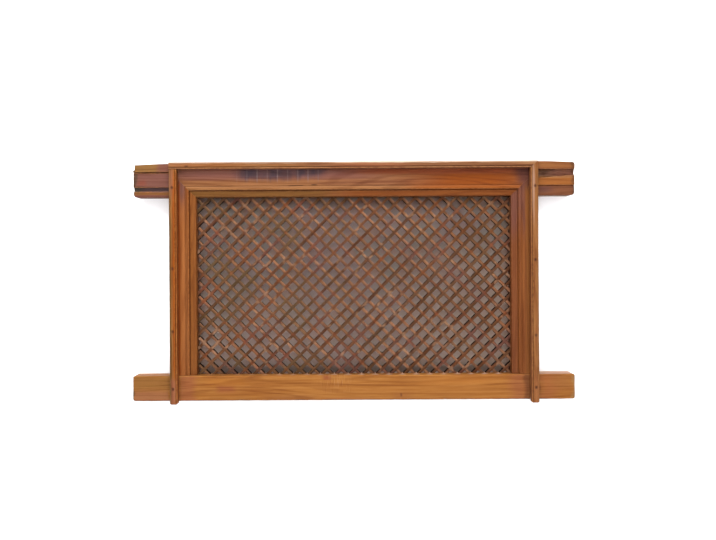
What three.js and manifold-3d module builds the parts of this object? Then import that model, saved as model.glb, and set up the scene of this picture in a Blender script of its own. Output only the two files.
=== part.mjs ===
// Window grille: an old wooden lattice window with long horned rails.
// Millimetres, +Z up. The front faces -Y and the back lies in the plane y = 0.
// The origin is on the back of the top rail, halfway along it and halfway up it.

import * as THREE from 'three';
import { mergeVertices } from 'three/addons/utils/BufferGeometryUtils.js';
import Module from 'manifold-3d';

// Driving dimensions

// Lattice: a whole number of diamonds each way. Its outermost crossings lie a little past the
// opening on the left, on the right and below, and a little short of it above.
const LATTICE_PITCH = 48.4;
const DIAMONDS_ACROSS = 23;
const DIAMONDS_HIGH = 13;
const CROSSINGS_PAST_LEFT = 3;
const CROSSINGS_PAST_RIGHT = 6.2;
const CROSSINGS_PAST_FOOT = 8.2;
const CROSSINGS_SHORT_OF_TOP = 3;
const BAR_WIDTH = 10;
const LATTICE_DEPTH = 20;
const LATTICE_BACK_SETBACK = 8;

// Frame: two rails that run past the stiles as horns, and two stiles between them.
// The top rail sits a little to the right of the middle and the bottom rail to the left.
const FRAME_DEPTH = 58;
const TOP_RAIL_HEIGHT = 120;
const BOTTOM_RAIL_HEIGHT = 88;
const STILE_WIDTH = 89;
const HORN_LENGTH = 132;
const RAIL_OFFSET = 2;

// Moulding that runs round the opening, measured outward from its edge.
const FACE_SETBACK = 4;
const INNER_BAND_WIDTH = 20;
const INNER_BAND_SETBACK = 10;
const INNER_BAND_ARRIS = 4;
const STEP_GROOVE_WIDTH = 5;
const STEP_GROOVE_DEPTH = 13;
const BEAD_RADIUS = 5;
const QUIRK_WIDTH = 3;
const QUIRK_DEPTH = 8;

// Battens nailed on the front, with a bead along the inner edge.
const SIDE_BATTEN_WIDTH = 28;
const TOP_BATTEN_HEIGHT = 25;
const BATTEN_THICKNESS = 20;
const BATTEN_ARRIS = 6;
const BATTEN_BEAD_RADIUS = 2.6;
const BATTEN_QUIRK = 2;
const FOOT_DROP = 9;
const FOOT_CORNER = 8;

// Nails in the side battens: one in each rail, and two between them at shares of the opening.
const NAIL_RADIUS = 3;
const NAIL_SINK = 1;
const NAIL_BACK_COVER = 5;
const NAIL_SIDES = 8;
const NAIL_EDGE_DISTANCE = 12;
const TOP_NAIL_RISE = 31;
const BOTTOM_NAIL_DROP = 43;
const LEFT_NAIL_SHARES = [0.4, 0.75];
const RIGHT_NAIL_SHARES = [0.36, 0.78];

// Joints between rails and stiles.
const FIT_GAP = 0.3;
const MITRE_DEPTH = 22;
const TENON_WIDTH = 44;
const TENON_THICKNESS = 18;
const TENON_LENGTH = 46;
const TENON_BACK = 12;

// Horns: worn ends of the rails, split and broken out along the grain.
const HORN_OVERLAP = 10;
const HORN_LOWER_BAND = 34.5;
const HORN_LOWER_SETBACK = 8;
const LEFT_HORN_TOP_BAND = 34;
const RIGHT_HORN_TOP_BAND = 28.5;
const LEFT_HORN_WEAR = [3, 7];
const RIGHT_HORN_WEAR = [0, 4];
const HORN_CORNER = 9;
const HORN_SHARP_CORNER = 4;
const LEFT_SHAKE_HEIGHT = 14;
const LEFT_SHAKE_DEPTH = 12;
const RIGHT_RECESS_INNER_DROP = 58;
const RIGHT_RECESS_OUTER_DROP = 50;
const RIGHT_RECESS_DEPTH = 12;
const BOTTOM_RAIL_ARRIS = 5;

const ARC_STEPS = 4;
const BEAD_STEPS = 6;
const CUT_MARGIN = 5;

// Derived places

const CROSSINGS_PAST_SIDES = CROSSINGS_PAST_LEFT + CROSSINGS_PAST_RIGHT;
const OPENING_HALF_WIDTH = (LATTICE_PITCH * DIAMONDS_ACROSS - CROSSINGS_PAST_SIDES) / 2;
const OPENING_HEIGHT = LATTICE_PITCH * DIAMONDS_HIGH - CROSSINGS_PAST_FOOT + CROSSINGS_SHORT_OF_TOP;
const BODY_HALF_WIDTH = OPENING_HALF_WIDTH + STILE_WIDTH;
const TOP = TOP_RAIL_HEIGHT / 2;
const OPENING_TOP = TOP - TOP_RAIL_HEIGHT;
const OPENING_BOTTOM = OPENING_TOP - OPENING_HEIGHT;
const BOTTOM = OPENING_BOTTOM - BOTTOM_RAIL_HEIGHT;
const FRONT = -FRAME_DEPTH;
const FACE = FRONT + FACE_SETBACK;
const MOULDING_WIDTH = INNER_BAND_WIDTH + STEP_GROOVE_WIDTH + 2 * BEAD_RADIUS + QUIRK_WIDTH;
const MITRE_REACH = STILE_WIDTH - SIDE_BATTEN_WIDTH;
const RAIL_HALF_LENGTH = BODY_HALF_WIDTH + HORN_LENGTH;
const BATTEN_BACK = FRONT - FIT_GAP;
const BATTEN_FRONT = BATTEN_BACK - BATTEN_THICKNESS;
const NAIL_LENGTH = BATTEN_THICKNESS - NAIL_SINK - NAIL_BACK_COVER;

const wasm = await Module();
wasm.setup();

// Solids

function toSolid(geometry) {
  const bare = geometry.clone();
  bare.deleteAttribute('normal');
  bare.deleteAttribute('uv');
  const merged = mergeVertices(bare);
  return new wasm.Manifold(new wasm.Mesh({
    numProp: 3,
    vertProperties: new Float32Array(merged.attributes.position.array),
    triVerts: new Uint32Array(merged.index.array),
  }));
}

function toGeometry(solid) {
  const mesh = solid.getMesh();
  const geometry = new THREE.BufferGeometry();
  geometry.setAttribute('position', new THREE.BufferAttribute(mesh.vertProperties, 3));
  geometry.setIndex(new THREE.BufferAttribute(mesh.triVerts, 1));
  const faceted = geometry.toNonIndexed();
  faceted.computeVertexNormals();
  return faceted;
}

// A prism whose outline lies in the plane of two axes, swept along the third one.
function prism(outline, axes, start, length) {
  const shape = outline instanceof THREE.Shape ? outline : new THREE.Shape(outline);
  const options = { depth: length, bevelEnabled: false, curveSegments: ARC_STEPS };
  const geometry = new THREE.ExtrudeGeometry(shape, options);
  geometry.translate(0, 0, start);
  geometry.applyMatrix4(new THREE.Matrix4().makeBasis(...axes));
  return toSolid(geometry);
}

const X = new THREE.Vector3(1, 0, 0);
const Y = new THREE.Vector3(0, 1, 0);
const Z = new THREE.Vector3(0, 0, 1);

// The outline's two numbers are (y, z) here, and the prism runs from x = from to x = to.
function prismAlongX(outline, from, to) {
  return prism(outline, [Y, Z, X], from, to - from);
}

// The outline's two numbers are (x, z) here, and the prism runs between y = front and y = back.
function prismAlongY(outline, front, back) {
  return prism(outline, [X, Z, Y.clone().negate()], -back, back - front);
}

// The outline's two numbers are (x, y) here, and the prism runs from z = from to z = to.
function prismAlongZ(outline, from, to) {
  return prism(outline, [X, Y, Z], from, to - from);
}

function block(x0, x1, y0, y1, z0, z1) {
  return prismAlongZ(rectangle(x0, x1, y0, y1), z0, z1);
}

// Outlines

function point(u, v) {
  return new THREE.Vector2(u, v);
}

function rectangle(u0, u1, v0, v1) {
  return [point(u0, v0), point(u1, v0), point(u1, v1), point(u0, v1)];
}

// Points on an arc, ends included. Angles are in quarter turns.
function arc(centreU, centreV, radius, fromQuarter, toQuarter, steps) {
  const points = [];
  for (let step = 0; step <= steps; step += 1) {
    const angle = (fromQuarter + ((toQuarter - fromQuarter) * step) / steps) * (Math.PI / 2);
    points.push(point(centreU + radius * Math.cos(angle), centreV + radius * Math.sin(angle)));
  }
  return points;
}

// A rectangle whose four corners may each be rounded: radii run from low u, low v and go round.
function roundedRectangle(u0, u1, v0, v1, [lowLow, highLow, highHigh, lowHigh]) {
  return [
    ...arc(u0 + lowLow, v0 + lowLow, lowLow, 2, 3, ARC_STEPS),
    ...arc(u1 - highLow, v0 + highLow, highLow, 3, 4, ARC_STEPS),
    ...arc(u1 - highHigh, v1 - highHigh, highHigh, 0, 1, ARC_STEPS),
    ...arc(u0 + lowHigh, v1 - lowHigh, lowHigh, 1, 2, ARC_STEPS),
  ];
}

// Section of a moulded frame member: u grows outward from the opening's edge, v is world y.
function mouldedSection(width, landWidth) {
  const band = FRONT + INNER_BAND_SETBACK;
  const grooveEnd = INNER_BAND_WIDTH + STEP_GROOVE_WIDTH;
  const beadCentre = grooveEnd + BEAD_RADIUS;
  const beadBase = FRONT + QUIRK_DEPTH;
  return [
    point(0, 0),
    ...arc(INNER_BAND_ARRIS, band + INNER_BAND_ARRIS, INNER_BAND_ARRIS, 2, 3, ARC_STEPS),
    point(INNER_BAND_WIDTH, band),
    point(INNER_BAND_WIDTH, FRONT + STEP_GROOVE_DEPTH),
    point(grooveEnd, FRONT + STEP_GROOVE_DEPTH),
    ...arc(beadCentre, beadBase, BEAD_RADIUS, 2, 4, BEAD_STEPS),
    point(MOULDING_WIDTH, beadBase),
    point(MOULDING_WIDTH, FACE),
    point(width - landWidth, FACE),
    point(width - landWidth, FRONT),
    point(width, FRONT),
    point(width, 0),
  ];
}

// Section of a horn of the top rail: a lower and a top band on either side of the plain face.
function hornSection(topBand) {
  const lowerBand = FRONT + HORN_LOWER_SETBACK;
  return [
    point(0, 0),
    point(0, lowerBand),
    point(HORN_LOWER_BAND, lowerBand),
    point(HORN_LOWER_BAND, FACE),
    point(TOP_RAIL_HEIGHT - topBand, FACE),
    point(TOP_RAIL_HEIGHT - topBand, FRONT),
    point(TOP_RAIL_HEIGHT, FRONT),
    point(TOP_RAIL_HEIGHT, 0),
  ];
}

// Section of a batten: u grows inward from its outer edge, v grows forward from its back.
function battenSection(width) {
  const beadCentre = width - BATTEN_BEAD_RADIUS;
  const beadBase = BATTEN_THICKNESS - BATTEN_BEAD_RADIUS;
  const quirkStart = beadCentre - BATTEN_BEAD_RADIUS - BATTEN_QUIRK;
  return [
    point(0, 0),
    point(width, 0),
    ...arc(beadCentre, beadBase, BATTEN_BEAD_RADIUS, 0, 2, BEAD_STEPS),
    point(quirkStart, beadBase),
    point(quirkStart, BATTEN_THICKNESS),
    ...arc(BATTEN_ARRIS, BATTEN_THICKNESS - BATTEN_ARRIS, BATTEN_ARRIS, 1, 2, ARC_STEPS),
  ];
}

// Joints

// Front wing of a stile, mitred at 45 degrees over the top rail, grown by a gap on its joints.
function mitreOutline(side, gap, overrun) {
  const slope = gap * Math.SQRT2;
  const outer = OPENING_HALF_WIDTH + MITRE_REACH + gap;
  return [
    point(side * (OPENING_HALF_WIDTH - slope - overrun), OPENING_TOP - overrun),
    point(side * outer, OPENING_TOP - overrun),
    point(side * outer, OPENING_TOP + MITRE_REACH + gap + slope),
  ];
}

function mitreWing(side, gap, overrun) {
  const outline = mitreOutline(side, gap, overrun);
  return prismAlongY(outline, FRONT - CUT_MARGIN, FRONT + MITRE_DEPTH + gap);
}

// Stub tenon of a stile, grown by a gap to make the mortise.
function tenon(side, z0, z1, gap) {
  const centre = side * (OPENING_HALF_WIDTH + STILE_WIDTH / 2);
  const back = -TENON_BACK;
  return block(
    centre - TENON_WIDTH / 2 - gap,
    centre + TENON_WIDTH / 2 + gap,
    back - TENON_THICKNESS - gap,
    back + gap,
    z0 - gap,
    z1 + gap,
  );
}

function topTenon(side, gap) {
  return tenon(side, OPENING_TOP - CUT_MARGIN, OPENING_TOP + TENON_LENGTH, gap);
}

function bottomTenon(side, gap) {
  return tenon(side, OPENING_BOTTOM - TENON_LENGTH, OPENING_BOTTOM + CUT_MARGIN, gap);
}

// Frame members

// Front view of a rail with its worn corners, as a block to cut the rail with.
function railOutline(z0, z1, shift, radii) {
  const left = shift - RAIL_HALF_LENGTH;
  const right = shift + RAIL_HALF_LENGTH;
  const outline = roundedRectangle(left, right, z0, z1, radii);
  return prismAlongY(outline, FRONT - CUT_MARGIN, CUT_MARGIN);
}

function topRail() {
  const upright = (points) => points.map(({ x: across, y }) => point(y, OPENING_TOP + across));
  const middle = upright(mouldedSection(TOP_RAIL_HEIGHT, TOP_BATTEN_HEIGHT));
  const leftHorn = upright(hornSection(LEFT_HORN_TOP_BAND));
  const rightHorn = upright(hornSection(RIGHT_HORN_TOP_BAND));
  const hornStart = BODY_HALF_WIDTH - HORN_OVERLAP;
  const hornEnd = RAIL_HALF_LENGTH + RAIL_OFFSET;
  const corners = [HORN_CORNER, HORN_CORNER, HORN_CORNER, HORN_SHARP_CORNER];
  let rail = prismAlongX(middle, -BODY_HALF_WIDTH, BODY_HALF_WIDTH)
    .add(prismAlongX(leftHorn, -hornEnd, -hornStart))
    .add(prismAlongX(rightHorn, hornStart, hornEnd))
    .intersect(railOutline(OPENING_TOP, TOP, RAIL_OFFSET, corners));
  for (const side of [-1, 1]) {
    rail = rail.subtract(mitreWing(side, FIT_GAP, CUT_MARGIN)).subtract(topTenon(side, FIT_GAP));
  }
  rail = rail.subtract(hornWear(-1, LEFT_HORN_WEAR)).subtract(hornWear(1, RIGHT_HORN_WEAR));
  return rail.subtract(leftShake(hornEnd)).subtract(rightRecess(hornEnd));
}

// Wood worn off the top of a horn, more of it towards the end.
function hornWear(side, [atRoot, atEnd]) {
  const root = side * BODY_HALF_WIDTH;
  const end = side * (RAIL_HALF_LENGTH + CUT_MARGIN);
  const outline = [
    point(root, TOP - atRoot),
    point(end, TOP - atEnd),
    point(end, TOP + CUT_MARGIN),
    point(root, TOP + CUT_MARGIN),
  ];
  return prismAlongY(outline, FRONT - CUT_MARGIN, CUT_MARGIN);
}

// Open split along the left horn.
function leftShake(hornEnd) {
  const ceiling = OPENING_TOP + HORN_LOWER_BAND;
  const outer = -hornEnd - CUT_MARGIN;
  const back = FRONT + LEFT_SHAKE_DEPTH;
  return block(outer, -BODY_HALF_WIDTH, FRONT - CUT_MARGIN, back, ceiling - LEFT_SHAKE_HEIGHT, ceiling);
}

// Broken-out strip along the right horn, wider towards the window.
function rightRecess(hornEnd) {
  const bandFoot = TOP - RIGHT_HORN_TOP_BAND;
  const outer = hornEnd + CUT_MARGIN;
  const outline = [
    point(BODY_HALF_WIDTH, bandFoot),
    point(BODY_HALF_WIDTH, TOP - RIGHT_RECESS_INNER_DROP),
    point(outer, TOP - RIGHT_RECESS_OUTER_DROP),
    point(outer, bandFoot),
  ];
  return prismAlongY(outline, FRONT - CUT_MARGIN, FRONT + RIGHT_RECESS_DEPTH);
}

function bottomRail() {
  const arris = BOTTOM_RAIL_ARRIS;
  const section = roundedRectangle(FRONT, 0, BOTTOM, OPENING_BOTTOM, [arris, 0, 0, arris]);
  const half = RAIL_HALF_LENGTH + RAIL_OFFSET;
  const corners = [HORN_CORNER, HORN_CORNER, HORN_SHARP_CORNER, HORN_CORNER];
  let rail = prismAlongX(section, -half, half)
    .intersect(railOutline(BOTTOM, OPENING_BOTTOM, -RAIL_OFFSET, corners));
  for (const side of [-1, 1]) {
    rail = rail.subtract(bottomTenon(side, FIT_GAP));
  }
  return rail;
}

function stile(side) {
  const section = mouldedSection(STILE_WIDTH, SIDE_BATTEN_WIDTH)
    .map(({ x: across, y }) => point(side * (OPENING_HALF_WIDTH + across), y));
  const foot = OPENING_BOTTOM + FIT_GAP;
  const shoulder = OPENING_TOP - FIT_GAP;
  const inner = side * (OPENING_HALF_WIDTH - CUT_MARGIN);
  const outer = side * (BODY_HALF_WIDTH + CUT_MARGIN);
  const shank = block(
    Math.min(inner, outer),
    Math.max(inner, outer),
    FRONT - CUT_MARGIN,
    CUT_MARGIN,
    foot,
    shoulder,
  );
  return prismAlongZ(section, foot, OPENING_TOP + MITRE_REACH)
    .intersect(shank.add(mitreWing(side, 0, CUT_MARGIN)))
    .add(topTenon(side, 0))
    .add(bottomTenon(side, 0));
}

// Lattice

// A bar along one diagonal, drawn long and cut to the opening afterwards.
function bar(number, lean, front, back) {
  const left = -OPENING_HALF_WIDTH - CROSSINGS_PAST_LEFT;
  const run = DIAMONDS_ACROSS * LATTICE_PITCH;
  const startZ = OPENING_BOTTOM - CROSSINGS_PAST_FOOT + number * LATTICE_PITCH;
  const half = (BAR_WIDTH / 2) * Math.SQRT2;
  const outline = [
    point(left - run, startZ - lean * run - half),
    point(left + 2 * run, startZ + lean * 2 * run - half),
    point(left + 2 * run, startZ + lean * 2 * run + half),
    point(left - run, startZ - lean * run + half),
  ];
  return prismAlongY(outline, front, back);
}

// The bars cross flush in the opening. In this solid the rising bars take the front half of
// the lattice's depth and the falling bars the back half, so that they join where they cross.
function lattice() {
  const back = -LATTICE_BACK_SETBACK;
  const middle = back - LATTICE_DEPTH / 2;
  const front = back - LATTICE_DEPTH;
  let grid = null;
  for (let number = 1 - DIAMONDS_ACROSS; number < DIAMONDS_HIGH; number += 1) {
    const rising = bar(number, 1, front, middle);
    const falling = bar(number + DIAMONDS_ACROSS, -1, middle, back);
    grid = grid ? grid.add(rising).add(falling) : rising.add(falling);
  }
  return grid.intersect(block(
    -OPENING_HALF_WIDTH + FIT_GAP,
    OPENING_HALF_WIDTH - FIT_GAP,
    front - CUT_MARGIN,
    back + CUT_MARGIN,
    OPENING_BOTTOM + FIT_GAP,
    OPENING_TOP - FIT_GAP,
  ));
}

// Battens

// Corner square where the top batten meets the right batten in a mitre.
function battenMitre(gap) {
  const inner = BODY_HALF_WIDTH - SIDE_BATTEN_WIDTH;
  const under = TOP - TOP_BATTEN_HEIGHT;
  return [
    point(inner - gap, under - CUT_MARGIN),
    point(inner - gap, under),
    point(BODY_HALF_WIDTH, TOP + gap),
    point(BODY_HALF_WIDTH + CUT_MARGIN, TOP + gap),
    point(BODY_HALF_WIDTH + CUT_MARGIN, under - CUT_MARGIN),
  ];
}

function topBatten() {
  const section = battenSection(TOP_BATTEN_HEIGHT)
    .map(({ x: across, y: forward }) => point(BATTEN_BACK - forward, TOP - across));
  return prismAlongX(section, -BODY_HALF_WIDTH, BODY_HALF_WIDTH)
    .subtract(prismAlongY(battenMitre(FIT_GAP), BATTEN_FRONT - CUT_MARGIN, BATTEN_BACK + CUT_MARGIN));
}

function nailHeights(shares) {
  return [
    OPENING_TOP + TOP_NAIL_RISE,
    ...shares.map((share) => OPENING_TOP - share * OPENING_HEIGHT),
    OPENING_BOTTOM - BOTTOM_NAIL_DROP,
  ];
}

// A nail lying front to back, or the same grown by a gap and lengthened forward for its hole.
function nail(side, height, gap, reach) {
  const radius = NAIL_RADIUS + gap;
  const length = NAIL_LENGTH + gap + reach;
  const geometry = new THREE.CylinderGeometry(radius, radius, length, NAIL_SIDES);
  const front = BATTEN_FRONT + NAIL_SINK - reach;
  geometry.translate(side * (BODY_HALF_WIDTH - NAIL_EDGE_DISTANCE), front + length / 2, height);
  return geometry;
}

function sideBatten(side, heights) {
  const section = battenSection(SIDE_BATTEN_WIDTH)
    .map(({ x: across, y: forward }) => point(side * (BODY_HALF_WIDTH - across), BATTEN_BACK - forward));
  const under = TOP - TOP_BATTEN_HEIGHT - FIT_GAP;
  const foot = BOTTOM - FOOT_DROP;
  const inner = BODY_HALF_WIDTH - SIDE_BATTEN_WIDTH;
  const corners = [FOOT_CORNER, FOOT_CORNER, 0, 0];
  const ends = side < 0
    ? roundedRectangle(-BODY_HALF_WIDTH, -inner, foot, under, corners)
    : [
      ...roundedRectangle(inner, BODY_HALF_WIDTH, foot, under, corners).slice(0, 2 * (ARC_STEPS + 1)),
      point(BODY_HALF_WIDTH, TOP - FIT_GAP),
      point(inner, under),
    ];
  let batten = prismAlongZ(section, foot, TOP)
    .intersect(prismAlongY(ends, BATTEN_FRONT - CUT_MARGIN, BATTEN_BACK + CUT_MARGIN));
  for (const height of heights) {
    batten = batten.subtract(toSolid(nail(side, height, FIT_GAP, NAIL_SINK + CUT_MARGIN)));
  }
  return batten;
}

// The object

const OLD_WOOD = new THREE.Color(0x96592c);
const RAIL_WOOD = new THREE.Color(0x965f3c);
const PALE_WOOD = new THREE.Color(0xb07138);
const BATTEN_WOOD = new THREE.Color(0x9d5f2c);
const LATTICE_WOOD = new THREE.Color(0x8a5a38);
const RUSTED_IRON = new THREE.Color(0x2e2420);

const group = new THREE.Group();

function addPiece(name, geometry, colour, roughness = 0.6, metalness = 0) {
  const material = new THREE.MeshStandardMaterial({ color: colour, roughness, metalness });
  const mesh = new THREE.Mesh(geometry, material);
  mesh.name = name;
  group.add(mesh);
}

addPiece('top_rail', toGeometry(topRail()), RAIL_WOOD);
addPiece('bottom_rail', toGeometry(bottomRail()), PALE_WOOD);
addPiece('left_stile', toGeometry(stile(-1)), OLD_WOOD);
addPiece('right_stile', toGeometry(stile(1)), OLD_WOOD);
addPiece('lattice', toGeometry(lattice()), LATTICE_WOOD);
addPiece('top_batten', toGeometry(topBatten()), BATTEN_WOOD);

for (const [name, side, shares] of [['left', -1, LEFT_NAIL_SHARES], ['right', 1, RIGHT_NAIL_SHARES]]) {
  const heights = nailHeights(shares);
  addPiece(`${name}_batten`, toGeometry(sideBatten(side, heights)), BATTEN_WOOD);
  heights.forEach((height, index) => {
    addPiece(`${name}_nail_${index + 1}`, nail(side, height, 0, 0), RUSTED_IRON, 0.7, 0.8);
  });
}

export default group;
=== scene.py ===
# Visual model of the old wooden lattice window, in metres, in the same frame as its solids.
# The pieces are measured in millimetres here, and turned into metres when a mesh is made.

import math
import random

import bmesh
import bpy
from mathutils import Euler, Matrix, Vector, noise


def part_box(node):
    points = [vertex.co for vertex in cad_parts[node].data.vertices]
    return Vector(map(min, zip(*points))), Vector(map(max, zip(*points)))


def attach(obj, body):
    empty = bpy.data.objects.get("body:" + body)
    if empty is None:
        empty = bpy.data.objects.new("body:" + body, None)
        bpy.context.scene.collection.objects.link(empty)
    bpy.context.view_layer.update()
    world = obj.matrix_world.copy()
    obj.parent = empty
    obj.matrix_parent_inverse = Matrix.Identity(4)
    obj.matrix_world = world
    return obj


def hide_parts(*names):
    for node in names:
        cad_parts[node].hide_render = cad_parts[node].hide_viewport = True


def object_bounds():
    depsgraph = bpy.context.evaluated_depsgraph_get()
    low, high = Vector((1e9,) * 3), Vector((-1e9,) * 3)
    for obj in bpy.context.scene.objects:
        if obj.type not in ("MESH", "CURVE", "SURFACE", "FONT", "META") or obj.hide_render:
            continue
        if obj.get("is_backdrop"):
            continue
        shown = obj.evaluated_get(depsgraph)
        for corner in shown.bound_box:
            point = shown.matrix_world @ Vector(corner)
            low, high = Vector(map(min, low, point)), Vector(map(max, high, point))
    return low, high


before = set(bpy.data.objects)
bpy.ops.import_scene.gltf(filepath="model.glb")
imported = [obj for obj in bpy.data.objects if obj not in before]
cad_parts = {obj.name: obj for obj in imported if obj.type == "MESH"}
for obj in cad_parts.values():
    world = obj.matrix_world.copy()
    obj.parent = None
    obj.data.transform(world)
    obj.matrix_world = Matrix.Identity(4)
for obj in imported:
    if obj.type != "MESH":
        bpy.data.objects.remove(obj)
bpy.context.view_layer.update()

MM = 0.001

# Lattice
PITCH = 48.4
ACROSS = 23
HIGH = 13
FIRST_X = -555.0
FIRST_Z = -692.2
BAR_WIDTH = 10.0
LATTICE_FRONT = -28.0
LATTICE_BACK = -8.0
LATTICE_MIDDLE = -18.0

# Frame
HALF_OPENING = 552.0
BODY = 641.0
TOP = 60.0
OPENING_TOP = -60.0
OPENING_BOTTOM = -684.0
BOTTOM = -772.0
FRONT = -58.0
FACE = -54.0
HORN_ROOT = 627.0
RAIL_HALF = 773.0
RAIL_OFFSET = 2.0
TOP_RAIL_HEIGHT = 120.0
BOTTOM_RAIL_HEIGHT = 88.0
STILE_WIDTH = 89.0

# Moulding round the opening, measured outward from its edge
BAND = 21.0
GROOVE_END = 24.5
BEAD_END = 36.0
MOULDING = 39.0
MITRE_REACH = 61.0
WING_BACK = -36.0

# Battens
BATTEN_BACK = -58.3
BATTEN_FRONT = -78.3
TOP_BATTEN = 25.0
SIDE_BATTEN = 28.0
FOOT = -781.0
NAIL_X = 629.0


# Numbers

def smooth(low, high, value):
    share = min(max((value - low) / (high - low), 0.0), 1.0)
    return share * share * (3.0 - 2.0 * share)


def ripple(x, y=0.0, z=0.0, seed=0):
    """Soft noise between -1 and 1."""
    return noise.noise(Vector((x + 17.3 * seed, y + 5.1 * seed, z + 9.7 * seed)))


def spread(start, stop, step):
    count = max(1, round(abs(stop - start) / step))
    return [start + (stop - start) * index / count for index in range(count + 1)]


def rounding(distance, radius):
    """How far a rounded arris falls back at a distance from its edge."""
    if distance >= radius:
        return 0.0
    return radius - math.sqrt(max(0.0, radius**2 - (radius - distance) ** 2))


def eased(profile, u, reach):
    """A profile with its steps worn soft."""
    return sum(profile(u + reach * step / 2.0) for step in (-2, -1, 0, 1, 2)) / 5.0


def levels_for(width, steps, spacing):
    """Places across a face: close together at its steps and edges, wide apart between them."""
    found = set(spread(0.0, width, spacing))
    for step in (0.0, width, *steps):
        for away in (-2.2, -1.2, -0.6, 0.0, 0.6, 1.2, 2.2):
            if 0.0 <= step + away <= width:
                found.add(step + away)
    kept = []
    for level in sorted(found):
        if not kept or level - kept[-1] > 0.35:
            kept.append(level)
    kept[-1] = width
    return kept


# Meshes

def skin(name, rings, closed_ends=True):
    """A closed skin over a row of rings. Each ring is a list of (point, ridge, stain, tone)."""
    mesh = bmesh.new()
    layers = [mesh.verts.layers.float.new(key) for key in ("ridge", "stain", "tone")]
    rows = []
    for ring in rings:
        row = []
        for place, *values in ring:
            vertex = mesh.verts.new([part * MM for part in place])
            for layer, value in zip(layers, values):
                vertex[layer] = value
            row.append(vertex)
        rows.append(row)
    for low, high in zip(rows, rows[1:]):
        for index, start in enumerate(low):
            after = (index + 1) % len(low)
            mesh.faces.new((start, low[after], high[after], high[index]))
    if closed_ends:
        mesh.faces.new(rows[0])
        mesh.faces.new(rows[-1])
    return finished(name, mesh)


def finished(name, mesh):
    bmesh.ops.remove_doubles(mesh, verts=mesh.verts, dist=0.01 * MM)
    bmesh.ops.recalc_face_normals(mesh, faces=mesh.faces)
    many = [face for face in mesh.faces if len(face.verts) > 4]
    bmesh.ops.triangulate(mesh, faces=many)
    for face in mesh.faces:
        face.smooth = True
    data = bpy.data.meshes.new(name)
    mesh.to_mesh(data)
    mesh.free()
    data.set_sharp_from_angle(angle=math.radians(38))
    piece = bpy.data.objects.new(name, data)
    bpy.context.scene.collection.objects.link(piece)
    return piece


window = bpy.data.collections.new("window")


def dress(piece, material, slot, *nodes):
    piece.data.materials.append(material)
    window.objects.link(piece)
    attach(piece, "root")
    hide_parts(*nodes)


class Member:
    """A long piece of wood: a carved front over a plain outer side, back and inner side.

    Its front is a relief: how far forward the wood stands at a distance u across the piece and
    a distance s along it. The piece's own place() turns (u, depth, s) into a point.
    """

    def __init__(self, width, levels, relief, place, back=0.0, stains=None):
        self.width = width
        self.levels = levels
        self.relief = relief
        self.place = place
        self.back = back
        self.stains = stains

    def ridge(self, u, s, depth):
        """Positive where the front stands out from its surroundings, negative in a hollow."""
        reach = 1.6
        around = 0.0
        for side in (-reach, reach):
            at = u + side
            if at < 0.0 or at > self.width:
                around += depth + reach
            else:
                around += self.relief(at, s)
        return max(-1.0, min(1.0, (around / 2.0 - depth) / 1.2))

    def ring(self, along, depth_of=None):
        """One ring: along(u, front) gives the distance along the piece at each place."""
        ring = []
        for u in self.levels:
            s = along(u, True)
            depth = self.relief(u, s)
            ridge = self.ridge(u, s, depth)
            if depth_of:
                depth = depth_of(u, depth)
            stain = self.stains(u, s) if self.stains else 0.0
            ring.append((self.place(u, depth, s), ridge, stain, 0.0))
        front_outer = ring[-1][0][1]
        front_inner = ring[0][0][1]
        for share in (0.12, 0.5, 0.94):
            ring.append(self.plain(self.width, front_outer, share, along))
        for share in (1.0, 0.8, 0.6, 0.4, 0.2, 0.0):
            s = along(share * self.width, False)
            depth = self.back - 0.35 + 0.35 * ripple(share * 3.0, s / 90.0, seed=4)
            ring.append((self.place(share * self.width, depth, s), 0.0, 0.0, 0.0))
        for share in (0.94, 0.5, 0.12):
            ring.append(self.plain(0.0, front_inner, share, along))
        return ring

    def plain(self, u, front, share, along):
        s = along(u, False)
        depth = front + (self.back - 0.6 - front) * share
        return (self.place(u, depth, s), 0.25 if share < 0.2 else 0.0, 0.0, 0.0)


# Frame members

def moulding(u):
    if u < BAND:
        return FRONT + 10.0
    if u < GROOVE_END:
        return FRONT + 12.5
    if u < BEAD_END:
        off_centre = (2.0 * u - GROOVE_END - BEAD_END) / (BEAD_END - GROOVE_END)
        return FACE - 0.6 + 2.6 * (1.0 - math.sqrt(max(0.0, 1.0 - off_centre**2)))
    if u < MOULDING:
        return FACE + 1.6
    return FACE


def weather(u, s, seed):
    """Gentle hollows and hand-planed waves of an old surface."""
    slow = 0.55 * ripple(s / 170.0, u / 60.0, seed=seed)
    planed = 0.16 * ripple(s / 38.0, u / 9.0, seed=seed + 1)
    fibre = 0.07 * ripple(s / 30.0, u / 1.7, seed=seed + 2)
    return slow + planed + fibre


def nick(s, seed, often=0.32):
    """Bites out of an arris, as a share of their full depth."""
    return smooth(often, often + 0.35, ripple(s / 11.0, seed=seed)) + 0.6 * smooth(
        0.25, 0.6, ripple(s / 47.0, seed=seed + 3)
    )


def framed(width, land, radius_in, radius_out, seed, to_mitre):
    """Front of a moulded member: its worn moulding and face, then the flat land under its batten."""
    def section(u):
        return moulding(u) if u < width - land else FRONT + 0.3

    def relief(u, s):
        depth = eased(section, u, 0.7)
        if u < width - land:
            depth += weather(u, s, seed) * smooth(0.0, 30.0, to_mitre(u, s))
        inner = radius_in * (1.0 + 0.7 * nick(s, seed + 5))
        outer = radius_out * (1.0 + 0.7 * nick(s, seed + 6))
        return depth + rounding(max(u, 0.0), inner) + rounding(max(width - u, 0.0), outer)

    return relief


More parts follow.
